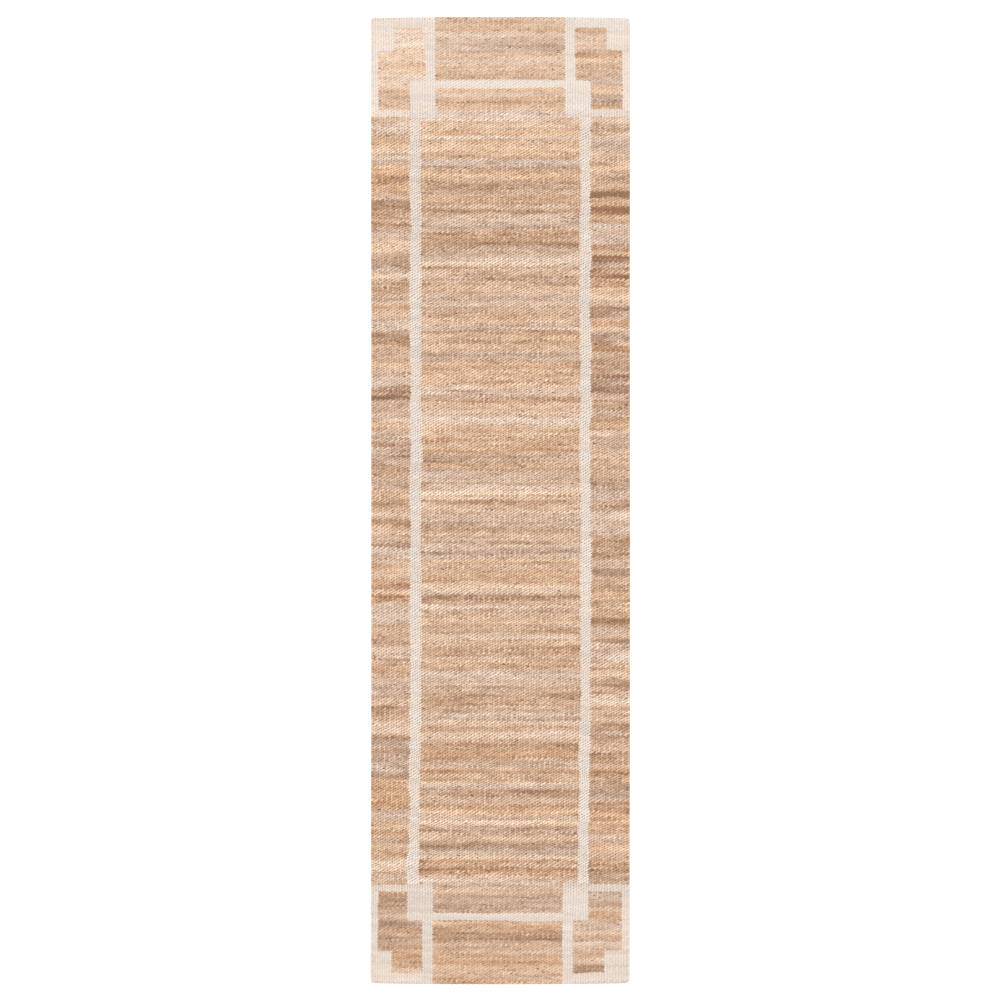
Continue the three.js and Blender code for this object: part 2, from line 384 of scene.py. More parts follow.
# Between the frame and the end the weave is beaten closer and reads calmer.
calm = 1 - ease(from_end, FRAME_PICKS - 16, FRAME_PICKS + 14)
print("grid points in ribbed blocks:", int(block_points.sum()))

# %% Raise the face and the underside
RELIEF = 0.0036                      # drop for each whole unit of hump height
UNDER_RELIEF = 0.0022
BLOCK_RELIEF = 0.7                   # share of the relief that the ribbed blocks have
CALM_SHARE = 0.25                    # how much shallower the humps are near the ends
EDGE_SHARE = 0.5                     # how much shallower they are at a side
EDGE_CALM = 0.006                    # and how far in from a side that reaches
PACKING_CHANGE = 0.40                # some yarns are packed hard and others lie loose
SLUB_HEIGHT, SLUB_START = 0.0025, 0.70      # thick spots, where a drift is over its start
FACE_WANDER = 0.00025

depth = RELIEF * np.where(block_points, BLOCK_RELIEF, 1.0) * (1 - CALM_SHARE * calm)
depth = depth * (1 - EDGE_SHARE * np.exp(-(side_distance / EDGE_CALM) ** 2))
depth = depth * (1 + PACKING_CHANGE * drift(warp_place / 3.1, pick_place / 1.7, 25))
slub = np.clip(drift(top_warp / 2.5, top_pick * 1.0, 23) - SLUB_START, 0, 1) * SLUB_HEIGHT
top_z = high[2] - depth * (1 - face_hump) + slub * (hump - 0.5)
top_z = top_z + FACE_WANDER * drift(warp_place / 12, pick_place / 16, 24)
bottom_z = low[2] + np.maximum(UNDER_RELIEF * (1 - under_hump), 0)
print("face heights, mm:", (top_z.min() * 1000).round(2), (top_z.max() * 1000).round(2))

# %% [markdown]
# ## Edges
#
# The weft turns round a cord at each side, so a side edge is a row of rounded loops. At each
# end the last picks are turned under and sewn down, so the end is a soft fold. Both are the
# same formula: the height falls away as a quarter circle over the last few millimetres.

# %% Round the selvedges and fold the ends
EDGE_RADIUS = 0.0032
THINNEST = 0.12                      # share of its height that the weave keeps at its very edge
FOLD_LIP = 0.0022                    # the fold reaches the floor within this of the end
LIP_SHARE = 0.06
HEM_PLAY = 0.0003                    # gap between the hem and the weave above it
HEM_RAMP = (0.0004, 0.006)           # where the underside comes down again, beyond the hem
hem_low, hem_high = (np.array(corner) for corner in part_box("hem_near"))
hem_depth = hem_high[1] - hem_low[1]
hem_top = hem_high[2]


def roll(distance):
    """Quarter circle from 0 at the edge to 1 at EDGE_RADIUS: the root of 1 - (1 - d/R)^2."""
    return np.sqrt(1 - (1 - np.clip(distance / EDGE_RADIUS, 0, 1)) ** 2)


over_hem = 1 - ease(end_distance, hem_depth + HEM_RAMP[0], hem_depth + HEM_RAMP[1])
over_hem = np.where(end_distance < FOLD_LIP, LIP_SHARE, over_hem)
bottom_z = bottom_z * (1 - over_hem) + (hem_top + HEM_PLAY) * over_hem
side_roll = np.maximum(roll(side_distance), THINNEST)
side_middle = (high[2] + bottom_z) / 2
top_z = side_middle + (top_z - side_middle) * side_roll
bottom_z = side_middle - (side_middle - bottom_z) * side_roll
end_roll = np.maximum(roll(end_distance), THINNEST)
fold_z = (high[2] + low[2]) / 2
top_z = fold_z + (top_z - fold_z) * end_roll
print("hem, mm deep and high:", (hem_depth * 1000).round(1), (hem_top * 1000).round(1))

# %% Swell the loops and draw in the corners
LOOP_SWELL = 0.0007                  # how far a loop of weft swells out at a side
END_SWELL = 0.5                      # share of that at an end
LOOP_REACH = 0.0035
CORNER_PULL, CORNER_REACH = 0.0026, 0.007

out = np.where(warp_place < warp_count / 2, -1, 1)
end_out = np.where(pick_place < pick_count / 2, -1, 1)
side_loops = np.cos(math.pi * (pick_place - 0.5)) * -out
end_loops = np.cos(math.pi * (warp_place - 0.5))
grid_x = grid_x + out * LOOP_SWELL * side_loops * np.exp(-side_distance / LOOP_REACH)
grid_y = grid_y + end_out * END_SWELL * LOOP_SWELL * end_loops * np.exp(-end_distance / LOOP_REACH)
corner = CORNER_PULL * np.exp(-(side_distance + end_distance) / CORNER_REACH)
grid_x, grid_y = grid_x - out * corner, grid_y - end_out * corner
print("outer width and length, mm:", np.ptp(grid_x) * 1000, np.ptp(grid_y) * 1000)

# %% [markdown]
# ## Stitches
#
# A brown thread holds each hem. On the face it shows only as a short stitch every two
# centimetres or so, and it pulls the yarn down into a dimple.

# %% Place the stitches and press their dimples
STITCH_EVERY = 0.0185
STITCH_LENGTH = 0.0042
STITCH_MARGIN = 0.01                 # no stitch is nearer to a side than this
STITCH_SCATTER = 0.003
INSET_SHARE = 0.3                    # share of that scatter along the rug
DIMPLE_DEPTH = 0.0013
DIMPLE_RADIUS = 0.0036
DIMPLE_WIDEN = 0.8                   # below 1 makes a dimple wider than it is long
END_ZONE = 0.05                      # only grid rows this near an end can be dimpled
thread_low, thread_high = (np.array(corner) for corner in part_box("hem_thread_near"))
stitch_inset = (thread_low[1] + thread_high[1]) / 2 - low[1]
sewn_width = rug_width - 2 * STITCH_MARGIN
stitch_count = int(sewn_width / STITCH_EVERY)
stitch_step = np.random.default_rng(31).uniform(-STITCH_SCATTER, STITCH_SCATTER, (2, stitch_count, 2))
stitch_x = (np.arange(stitch_count) + 0.5) * sewn_width / stitch_count + low[0] + STITCH_MARGIN
stitches = {}
for k, (end, edge, sign) in enumerate((("near", low[1], 1), ("far", high[1], -1))):
    places = np.column_stack([stitch_x + stitch_step[k, :, 0],
                              edge + sign * stitch_inset + INSET_SHARE * stitch_step[k, :, 1]])
    stitches[end] = places
    near_rows = np.abs(grid_y[:, 0] - edge) < END_ZONE
    for x, y in places:
        gap = np.hypot((grid_x[near_rows] - x) * DIMPLE_WIDEN, grid_y[near_rows] - y)
        top_z[near_rows] -= DIMPLE_DEPTH * np.exp(-(gap / DIMPLE_RADIUS) ** 2)
print(stitch_count, "stitches at each end")

# %% [markdown]
# ## Yarn tones
#
# Undyed jute is never one colour. One yarn runs to and fro across its area, pick after pick,
# and its tone changes along its running length: a little every few centimetres, more from
# metre to metre. That is why the stripes of a real rug run out half way and come back in the
# next row. Some lengths stand out from the rest, lighter or darker, greyer or more orange,
# so these are drawn with a fixed seed from a few sizes that say how often and how much.

# %% Lengths of yarn that stand out
STAND_OUT_EVERY = 8                  # picks from one such length to the next, on average
STAND_OUT_WIDE = {"centre_field": (2, 6), "end_panel": (2, 6),
                  "side_border": (3, 9), "corner_panel": (3, 8)}  # fewest and most picks
STAND_OUT_TONE = 0.13                # usual step to lighter or darker
STAND_OUT_SLOPE = 0.05               # how much it differs between its two ends
STAND_OUT_HUE = 0.35                 # usual step to orange or grey


def stand_out_lines(node):
    """For every pick of a jute area, how much lighter its left end, its right end, and how
    much more orange the drawn lengths make it: each falls away as
    exp(-(2 * distance / width)^4). Both halves of one side border share their lengths."""
    kind = next(name for name in STAND_OUT_WIDE if node.startswith(name))
    seed = 600 + 10 * list(STAND_OUT_WIDE).index(kind) + node.endswith("left")
    draw = np.random.default_rng(seed)
    count = pick_count // STAND_OUT_EVERY
    middle = (np.arange(count) + draw.uniform(0, 1, count)) * pick_count / count
    fewest, most = STAND_OUT_WIDE[kind]
    wide = draw.integers(fewest, most + 1, count)
    tone = draw.normal(0, STAND_OUT_TONE, count)
    slope = draw.normal(0, STAND_OUT_SLOPE, count)
    orange = draw.normal(0, STAND_OUT_HUE, count)
    picks = np.arange(pick_count + 1)[:, None]
    reach = np.exp(-(2 * (picks - middle) / wide) ** 4)
    return reach @ (tone - slope), reach @ (tone + slope), reach @ orange


field_lines = stand_out_lines("centre_field_1")
print("field, spread of the tone that stands out:", field_lines[0].std().round(3))

# %% Tone along a running yarn
# Each change of tone: (warps long, how much).
YARN_CHANGES = ((6, 0.13), (17, 0.12), (70, 0.10), (480, 0.08), (2000, 0.06), (3, 0.15))
PICK_CHANGE = 0.05
BOBBIN_PICKS = 9                     # a bobbin lasts about this many picks
DRIFT_PICKS = 41                     # picks after which a drift along the yarn starts afresh
HUE_CHANGES = (0.22, 0.3)            # how much the hue changes by the bobbin, and along the yarn
HUE_LENGTH = 90                      # warps of running yarn to one change of hue
ORANGE_SHARE = 0.5                   # how far a step to orange moves the hue
RAGGED_TURNS = 5                     # warps by which a change of tone across a row is ragged
BOBBIN_CHANGE = 0.05
END_EVENNESS = 0.24                  # how much less the tone changes near the ends


def running_yarn(first, last, seed, node=None):
    """Tone, 0 dark to 1 light, and hue, 0 grey to 1 orange, of a yarn that fills the warps
    from first to last: drift over its running length, which is pick times width plus the
    place in the row counted from alternate sides. A node adds its lengths that stand out."""
    width = last - first
    place = np.clip(warp_place - first, 0, width)
    run = top_pick * width + np.where(top_pick % 2 == 0, place, width - place)
    turns = top_pick / DRIFT_PICKS
    tone = 0.5 + sum(share * drift(run / length, turns, seed + k)
                     for k, (length, share) in enumerate(YARN_CHANGES))
    bobbin = np.floor(top_pick / BOBBIN_PICKS + 0.45 * scatter(top_pick // 30, seed + 50))
    bobbin = bobbin.astype(int)
    tone = tone + PICK_CHANGE * scatter(top_pick, seed) + BOBBIN_CHANGE * scatter(bobbin, seed + 51)
    hue = 0.5 + HUE_CHANGES[0] * scatter(bobbin, seed + 52)
    hue = hue + HUE_CHANGES[1] * drift(run / HUE_LENGTH, turns, seed + 9)
    if node is None:
        return tone, hue
    left, right, orange = (line[top_pick] for line in stand_out_lines(node))
    t = ease(place + RAGGED_TURNS * scatter(top_pick, 90), 0, width)
    return tone + left * (1 - t) + right * t, hue + ORANGE_SHARE * orange


# The tone of each area apart from its changes: the weaver's bobbins differ.
AREA_SHADE = {
    "centre_field": -0.02, "side_border": -0.06, "end_panel_far": -0.05, "end_panel_near": -0.08,
    "corner_panel_far_left": 0.09, "corner_panel_far_right": -0.12,
    "corner_panel_near_left": -0.12, "corner_panel_near_right": -0.11,
    "corner_figure": -0.02, "frame_block": -0.02, "frame_line": -0.03, "long_stripe": -0.03,
}
FAR_LIGHTER = 0.10                   # how much lighter the jute is at the far end than the near
IVORY_WIDTH = 12                     # warps, the width that an ivory yarn runs to and fro over
IVORY_CHANGE = 0.5                   # share of the jute's changes of tone that ivory has
NEAR_IVORY = 0.12                    # how much darker the ivory of the near end is


def area_yarn(node, number):
    """Tone and hue for one area: ivory changes little, jute has lengths that stand out."""
    shade = next(value for key, value in AREA_SHADE.items() if node.startswith(key))
    if node.startswith(IVORY):
        tone, hue = running_yarn(0, IVORY_WIDTH, 200 + 10 * number)
        return 0.5 + IVORY_CHANGE * (tone - 0.5) + shade - NEAR_IVORY * ("near" in node), hue
    filled = np.nonzero(areas[node].any(axis=0))[0] / COLUMNS_PER_WARP
    seed = 400 if node.startswith("centre_field") else 500 + 20 * number
    tone, hue = running_yarn(filled.min(), filled.max(), seed, node)
    shade = shade + FAR_LIGHTER * (top_pick / pick_count - 0.5)
    return 0.5 + (tone - 0.5) * (1 - END_EVENNESS * calm) + shade, hue


yarns = {node: area_yarn(node, number) for number, node in enumerate(areas)
         if not node.startswith("centre_field")}
field_yarn = area_yarn("centre_field_1", 0)
yarns.update({node: field_yarn for node in areas if node.startswith("centre_field")})
sample = yarns["centre_field_4"][0][areas["centre_field_4"].nonzero()]
print("field tone, mean and spread:", sample.mean().round(3), sample.std().round(3))

# %% [markdown]
# ## From grid to shell
#
# Each area becomes one closed shell: its cells of the face, the same cells of the underside at
# half the density, and a wall between the two all round. A wall face has five corners, three
# on the face's grid and two on the underside's, so the two densities meet without a gap.

# %% A mesh from arrays
SHARP_ANGLE = math.radians(62)
print("folds sharper than this stay sharp, degrees:", round(math.degrees(SHARP_ANGLE)))


def make_mesh(name, points, faces):
    """A smooth-shaded mesh object from points and blocks of equal-sided faces, all as arrays."""
    mesh = bpy.data.meshes.new(name)
    loops = np.concatenate([block.ravel() for block in faces]).astype(np.int32)
    sizes = np.concatenate([np.full(len(block), block.shape[1]) for block in faces])
    starts = np.concatenate([[0], np.cumsum(sizes)[:-1]]).astype(np.int32)
    mesh.vertices.add(len(points))
    mesh.vertices.foreach_set("co", np.ascontiguousarray(points, np.float32).ravel())
    mesh.loops.add(len(loops))
    mesh.loops.foreach_set("vertex_index", loops)
    mesh.polygons.add(len(sizes))
    mesh.polygons.foreach_set("loop_start", starts)
    mesh.polygons.foreach_set("use_smooth", np.ones(len(sizes), bool))
    mesh.update(calc_edges=True)
    mesh.validate()
    piece = bpy.data.objects.new(name, mesh)
    bpy.context.scene.collection.objects.link(piece)
    return piece


# %% Points and faces of a shell
under = (slice(None, None, COARSE),) * 2
face_points = np.stack([grid_x, grid_y, top_z], -1).reshape(-1, 3)
under_grid = np.stack([grid_x[under], grid_y[under], bottom_z[under]], -1)
# Away from its border the underside is sampled at the middle of each pick, where it bulges.
mid_pick = (slice(1, None, COARSE), slice(None, None, COARSE))
bulging = np.stack([grid_x[mid_pick], grid_y[mid_pick], bottom_z[mid_pick]], -1)
bulging = np.concatenate([bulging, under_grid[-1:]])
face_width, under_width = columns + 1, columns // COARSE + 1
print("points on the face and the underside:", len(face_points), under_grid.size // 3)


def quads(cells, width):
    """Corner numbers of the filled cells of a grid, anticlockwise from above."""
    r, c = np.nonzero(cells)
    start = r * width + c
    return np.column_stack([start, start + 1, start + width + 1, start + width])


def side_walls(cells):
    """Five-sided wall faces along every edge between a filled coarse cell and an empty one."""
    filled = np.pad(cells[::COARSE, ::COARSE], 1)
    body = filled[1:-1, 1:-1]
    sides = (                        # (what lies beyond, first corner, last corner)
        (filled[:-2, 1:-1], (0, 0), (0, 1)), (filled[2:, 1:-1], (1, 1), (1, 0)),
        (filled[1:-1, :-2], (1, 0), (0, 0)), (filled[1:-1, 2:], (0, 1), (1, 1)))
    walls = []
    for beyond, first, last in sides:
        r, c = np.nonzero(body & ~beyond)
        ends = [(r + corner[0], c + corner[1]) for corner in (first, last)]
        low_a, low_b = (p * under_width + q + len(face_points) for p, q in ends)
        up_a, up_b = (p * COARSE * face_width + q * COARSE for p, q in ends)
        walls.append(np.column_stack([low_a, low_b, up_b, (up_a + up_b) // 2, up_a]))
    return np.concatenate(walls)


# %% Build the shell of an area
def woven_shell(node, cells):
    """The closed shell of one area, with its weave map and yarn attributes."""
    coarse = cells[::COARSE, ::COARSE]
    faces = [quads(cells, face_width),
             quads(coarse, under_width)[:, ::-1] + len(face_points), side_walls(cells)]
    used, flat = np.unique(np.concatenate([part.ravel() for part in faces]), return_inverse=True)
    cuts = np.cumsum([part.size for part in faces])[:-1]
    faces = [part.reshape(-1, sides) for part, sides in zip(np.split(flat, cuts), (4, 4, 5))]
    wide = np.pad(coarse, 1)
    inner = wide[1:, 1:] & wide[:-1, 1:] & wide[1:, :-1] & wide[:-1, :-1]
    below = np.where(inner[..., None], bulging, under_grid).reshape(-1, 3)
    piece = make_mesh("woven_" + node, np.concatenate([face_points, below])[used], faces)
    piece.data.set_sharp_from_angle(angle=SHARP_ANGLE)
    across = np.concatenate([warp_place.ravel(), warp_place[under].ravel() + 1])[used]
    up = np.concatenate([pick_place.ravel(), (pick_place[under] + 0.5 * inner).ravel()])[used]
    weave = piece.data.uv_layers.new(name="weave")
    loops = np.empty(len(piece.data.loops), np.int32)
    piece.data.loops.foreach_get("vertex_index", loops)
    weave.uv.foreach_set("vector", np.column_stack([across, up])[loops].astype(np.float32).ravel())
    for attribute, values in zip(("yarn_tone", "yarn_hue", "calm", "ribbed"),
                                 (*yarns[node], calm, RIB_SHARE * block_points)):
        layer = piece.data.attributes.new(attribute, "FLOAT", "POINT")
        values = np.concatenate([values.ravel(), values[under].ravel()])[used]
        layer.data.foreach_set("value", values.astype(np.float32))
    return piece


woven = {node: woven_shell(node, cells) for node, cells in areas.items()}
total = sum(len(piece.data.polygons) for piece in woven.values())
print(len(woven), "shells,", total, "faces")

# %% [markdown]
# ## Threads and cords
#
# Everything else is thread: tubes that follow a path. One function makes many tubes at once
# from an array of paths, with a cap at both ends.

# %% Carry a round section along many paths
THREAD_SIDES = 6
print("sides of a thread:", THREAD_SIDES)


def tubes(name, paths, radius):
    """Tubes along paths, an array of (tube, step, xyz). At each step the ring is the centre
    plus radius times (cos, sin) of its angle on two axes square to the path."""
    count, steps, _ = paths.shape
    ahead = np.gradient(paths, axis=1)
    ahead /= np.linalg.norm(ahead, axis=-1, keepdims=True)
    up = np.where(np.abs(ahead[..., 2:]) > 0.9, [1.0, 0, 0], [0, 0, 1.0])
    across = np.cross(ahead, up)
    across /= np.linalg.norm(across, axis=-1, keepdims=True)
    over = np.cross(across, ahead)
    turn = np.arange(THREAD_SIDES) * 2 * math.pi / THREAD_SIDES
    rings = paths[:, :, None] + radius * (
        np.cos(turn)[:, None] * across[:, :, None] + np.sin(turn)[:, None] * over[:, :, None])
    ring = np.arange(count * steps * THREAD_SIDES).reshape(count, steps, THREAD_SIDES)
    after = np.roll(ring, -1, axis=2)
    skin = np.stack([ring[:, :-1], ring[:, 1:], after[:, 1:], after[:, :-1]], -1).reshape(-1, 4)
    caps = np.concatenate([ring[:, 0], ring[:, -1, ::-1]])
    return make_mesh(name, rings.reshape(-1, 3), [skin, caps])


# %% Warp threads
WARP_RADIUS = 0.0004
WARP_STEPS = 60
END_ROWS = 3                         # grid rows from an end to where a thread inside may start
warp_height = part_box("warp_group_01")[0][2] + WARP_RADIUS
warp_start, warp_end = (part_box("warp_group_01")[k][1] for k in (0, 1))
thread_y = np.linspace(warp_start, warp_end, WARP_STEPS)
thread_rows = np.round((thread_y - low[1]) / rug_length * rows).astype(int)
thread_rows = np.clip(thread_rows, END_ROWS, rows - END_ROWS)
warp_middles = np.arange(warp_count) + 0.5
warp_x = low[0] + warp_middles * warp_pitch
hidden = {}
for node in sorted(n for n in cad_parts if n.startswith("warp_group")):
    left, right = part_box(node)[0][0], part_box(node)[1][0]
    mine = warp_middles[(warp_x > left) & (warp_x < right)]
    if not len(mine):
        mine = np.array([((left + right) / 2 - low[0]) / warp_pitch])
    column = np.round(mine * COLUMNS_PER_WARP).astype(int)
    paths = np.empty((len(mine), WARP_STEPS, 3))
    paths[..., 0] = grid_x[thread_rows][:, column].T
    paths[..., 1] = grid_y[thread_rows][:, column].T
    paths[..., 2] = warp_height
    hidden[node] = tubes("threads_" + node, paths, WARP_RADIUS)
print(len(hidden), "groups of warp threads")

# %% Selvedge cords
CORD_STEPS = 420
STEPS_TO_A_TURN = 6
PLY_RADIUS = 0.0004
PLY_THICKNESS = 0.95                 # a little under the spacing, so the two plies do not touch
cord_level = (low[2] + high[2]) / 2 + 0.0002
for node in ("selvedge_cord_left", "selvedge_cord_right"):
    cord_low, cord_high = (np.array(corner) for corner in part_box(node))
    place = np.linspace(END_ROWS, rows - END_ROWS, CORD_STEPS)
    column = int(np.abs(laid_x - (cord_low[0] + cord_high[0]) / 2).argmin())
    x, y = (np.interp(place, np.arange(rows + 1), grid[:, column]) for grid in (grid_x, grid_y))
    turn = np.linspace(0, 2 * math.pi * CORD_STEPS / STEPS_TO_A_TURN, CORD_STEPS)
    plies = [np.column_stack([x + PLY_RADIUS * np.cos(turn + half), y,
                              cord_level + PLY_RADIUS * np.sin(turn + half)])
             for half in (0, math.pi)]
    hidden[node] = tubes("plied_" + node, np.array(plies), PLY_RADIUS * PLY_THICKNESS)
print(len(hidden), "pieces of warp and cord inside the weave")

# %% Hems: a strip of web turned under each end
HEM_COLUMNS = 400
HEM_SIDE_GAP = 0.006                 # the strip stops short of the rug's sides
HEM_END_GAP = 0.0030                 # and of the fold that hides it
WEB_WARP, WEB_PICK = 0.0040, 0.0024  # pitch of the web's own threads
WEB_RELIEF = 0.18                    # share of the strip's height that they swing
STRIP_SIDES = 36


def hem_strip(name, node, end_row, sign):
    """A flat strip with rounded long edges, carried across the rug behind the line of its end:
    its section is a loop of (cos to the power 0.5, sin to the power 0.22), and it is pinched
    by two crossed cosines where the picks of the web go under."""
    strip_low, strip_high = (np.array(corner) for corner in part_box(node))
    x = np.linspace(low[0] + HEM_SIDE_GAP, high[0] - HEM_SIDE_GAP, HEM_COLUMNS)
    end_line = np.interp(x, grid_x[end_row], grid_y[end_row])
    half_y = (hem_depth - HEM_END_GAP) / 2
    middle_y = end_line + sign * (HEM_END_GAP + half_y)
    half_z, middle_z = (strip_high[2] - strip_low[2]) / 2, (strip_high[2] + strip_low[2]) / 2
    turn = np.arange(STRIP_SIDES) * 2 * math.pi / STRIP_SIDES
    cos, sin = np.cos(turn), np.sin(turn)
    py = half_y * np.sign(cos) * np.abs(cos) ** 0.5
    pz = half_z * np.sign(sin) * np.abs(sin) ** 0.22
    web = 0.5 + 0.5 * np.cos(math.pi * x[:, None] / WEB_WARP) * np.cos(math.pi * py / WEB_PICK)
    points = np.stack([np.broadcast_to(x[:, None], web.shape), middle_y[:, None] + py,
                       middle_z + pz * (1 - WEB_RELIEF * web)], -1)
    ring = np.arange(web.size).reshape(web.shape)
    after = np.roll(ring, -1, axis=1)
    skin = np.stack([ring[:-1], after[:-1], after[1:], ring[1:]], -1).reshape(-1, 4)
    caps = np.stack([ring[0, ::-1], ring[-1]])
    return make_mesh(name, points.reshape(-1, 3), [skin, caps])


hems = {"hem_near": hem_strip("turned_hem_near", "hem_near", 0, 1),
        "hem_far": hem_strip("turned_hem_far", "hem_far", -1, -1)}
print("faces in a hem:", len(hems["hem_near"].data.polygons))

# %% Sewing thread
THREAD_RADIUS = 0.00045
STITCH_STEPS = 9
STITCH_SLANT = 0.0022                # how far a stitch on the face runs along the rug
STITCH_RISE = 0.0012
STITCH_SINK = 0.0003                 # how far its top lies below the bottom of its dimple
UNDER_RISE = 0.0008


def running_thread(end):
    """Short arches of thread on the face, one to a stitch, and longer ones on the hem's
    underside between them. Each is a half wave that dips into the weave at both ends."""
    places = stitches[end]
    t = np.linspace(0, 1, STITCH_STEPS)
    arch = np.sin(math.pi * t) ** 0.5
    slant = STITCH_SLANT * (1 if end == "near" else -1)
    face_level = high[2] - DIMPLE_DEPTH - STITCH_SINK
    upper = np.empty((len(places), STITCH_STEPS, 3))
    upper[..., 0] = places[:, :1] + (t - 0.5) * STITCH_LENGTH
    upper[..., 1] = places[:, 1:] + (t - 0.5) * slant
    upper[..., 2] = face_level - STITCH_RISE + STITCH_RISE * arch
    lower = np.empty((len(places) - 1, STITCH_STEPS, 3))
    start, stop = places[:-1] + [STITCH_LENGTH / 2, 0], places[1:] - [STITCH_LENGTH / 2, 0]
    lower[..., :2] = start[:, None] * (1 - t)[:, None] + stop[:, None] * t[:, None]
    lower[..., 2] = thread_low[2] + THREAD_RADIUS + UNDER_RISE * (1 - arch)
    return tubes("stitching_" + end, np.concatenate([upper, lower]), THREAD_RADIUS)


threads = {"hem_thread_" + end: running_thread(end) for end in ("near", "far")}
print(len(hems), "hems and", len(threads), "lines of stitching")

# %% [markdown]
# ## Shader maths
#
# A material is a graph of nodes. Written as Python expressions it reads like a formula: the
# class below wraps one number socket, and each operator adds a Math node.

# %% Numbers in a material
class Number:
    """A number socket. Arithmetic on it adds Math nodes and gives a new Number."""

    def __init__(self, finish, socket):
        self.finish, self.socket = finish, socket

    def maths(self, operation, *others):
        """One Math node with this number first, as a new Number."""
        node = self.finish.node("ShaderNodeMath", {"operation": operation},
                                {k: v for k, v in enumerate((self, *others))})
        return Number(self.finish, node.outputs[0])

    def __add__(self, other):
        return self.maths("ADD", other)

    __radd__ = __add__

    def __mul__(self, other):
        return self.maths("MULTIPLY", other)

    __rmul__ = __mul__

    def __sub__(self, other):
        return self.maths("SUBTRACT", other)

    def __rsub__(self, other):
        return (self * -1) + other

    def __truediv__(self, other):
        return self.maths("DIVIDE", other)

    def __gt__(self, other):
        return self.maths("GREATER_THAN", other)

    def cos(self):
        """Cosine of an angle in radians."""
        return self.maths("COSINE")

    def sin(self):
        """Sine of an angle in radians."""
        return self.maths("SINE")

    def larger(self, other):
        """The larger of this number and another."""
        return self.maths("MAXIMUM", other)

    def whole(self):
        """The nearest whole number."""
        return self.maths("ROUND")

    def ease(self, start, end):
        """0 at start, 1 at end, smooth between; start may be the larger."""
        node = self.finish.node(
            "ShaderNodeMapRange", {"interpolation_type": "SMOOTHSTEP"},
            {"Value": self, "From Min": start, "From Max": end})
        return Number(self.finish, node.outputs["Result"])


# %% A finish and its nodes
class Finish:
    """A material with a Principled shader, and helpers that add nodes to it."""

    def __init__(self, name, roughness, sheen):
        self.material = bpy.data.materials.new(name)
        self.material.use_nodes = True
        self.tree = self.material.node_tree
        self.shader = self.tree.nodes["Principled BSDF"]
        self.shader.inputs["Roughness"].default_value = roughness
        self.shader.inputs["Specular IOR Level"].default_value = 0.15
        self.shader.inputs["Sheen Weight"].default_value = sheen
        self.shader.inputs["Sheen Roughness"].default_value = 0.6

    def node(self, kind, settings=None, sockets=None):
        """Adds a node: first its settings, then its sockets, as values or links."""
        made = self.tree.nodes.new(kind)
        for key, value in (settings or {}).items():
            setattr(made, key, value)
        for key, value in (sockets or {}).items():
            if isinstance(value, Number):
                value = value.socket
            if isinstance(value, bpy.types.NodeSocket):
                self.tree.links.new(value, made.inputs[key])
            else:
                made.inputs[key].default_value = value
        return made

    def attribute(self, name):
        """A number kept on the mesh."""
        node = self.node("ShaderNodeAttribute", {"attribute_name": name})
        return Number(self, node.outputs["Fac"])

    def split(self, socket):
        """The three numbers of a vector."""
        node = self.node("ShaderNodeSeparateXYZ", None, {0: socket})
        return [Number(self, out) for out in node.outputs]

    def vector(self, x, y, z):
        """A vector of three numbers."""
        return self.node("ShaderNodeCombineXYZ", None, {0: x, 1: y, 2: z}).outputs[0]

    def noise(self, vector, detail=2.0, roughness=0.5):
        """Smooth noise from 0 to 1 at scale 1."""
        node = self.node("ShaderNodeTexNoise", None,
                         {"Vector": vector, "Scale": 1.0, "Detail": detail, "Roughness": roughness})
        return Number(self, node.outputs[0])

    def scatter(self, vector):
        """An unrelated number from 0 to 1 for each different vector."""
        node = self.node("ShaderNodeTexWhiteNoise", {"noise_dimensions": "3D"}, {"Vector": vector})
        return Number(self, node.outputs["Value"])

    def ramp(self, factor, stops):
        """A colour ramp through (place, colour) stops."""
        made = self.node("ShaderNodeValToRGB", None, {0: factor})
        points = made.color_ramp.elements
        while len(points) < len(stops):
            points.new(0.5)
        for point, (place, colour) in zip(points, stops):
            point.position, point.color = place, colour
        return made.outputs["Color"]

    def mix(self, factor, first, second, blend="MIX"):
        """Two colours mixed."""
        made = self.node("ShaderNodeMix", {"data_type": "RGBA", "blend_type": blend},
                         {"Factor": factor, 6: first, 7: second})
        return made.outputs[2]

    def bump(self, height, distance, strength=1.0):
        """The surface tilted as a height of 0 to 1, worth distance in metres, would tilt it."""
        node = self.node("ShaderNodeBump", None,
                         {"Height": height, "Distance": distance, "Strength": strength})
        return node.outputs["Normal"]

    def wear(self, colour, normal=None):
        """Connects what varies to the shader, and gives the material."""
        self.tree.links.new(colour, self.shader.inputs["Base Color"])
        if normal is not None:
            self.tree.links.new(normal, self.shader.inputs["Normal"])
        return self.material


# %% Colours as they show
LIGHT_GAIN = 1.47                    # how much brighter the studio makes a surface


def dye(red, green, blue):
    """A display colour of 0 to 255 each, as the linear reflectance that shows it here."""
    shown = np.array([red, green, blue]) / 255
    linear = np.where(shown <= 0.04045, shown / 12.92, ((shown + 0.055) / 1.055) ** 2.4)
    return (*np.clip(linear / LIGHT_GAIN, 0, 0.9).tolist(), 1.0)


print("reflectance of a light jute:", np.round(dye(222, 189, 162)[:3], 3))
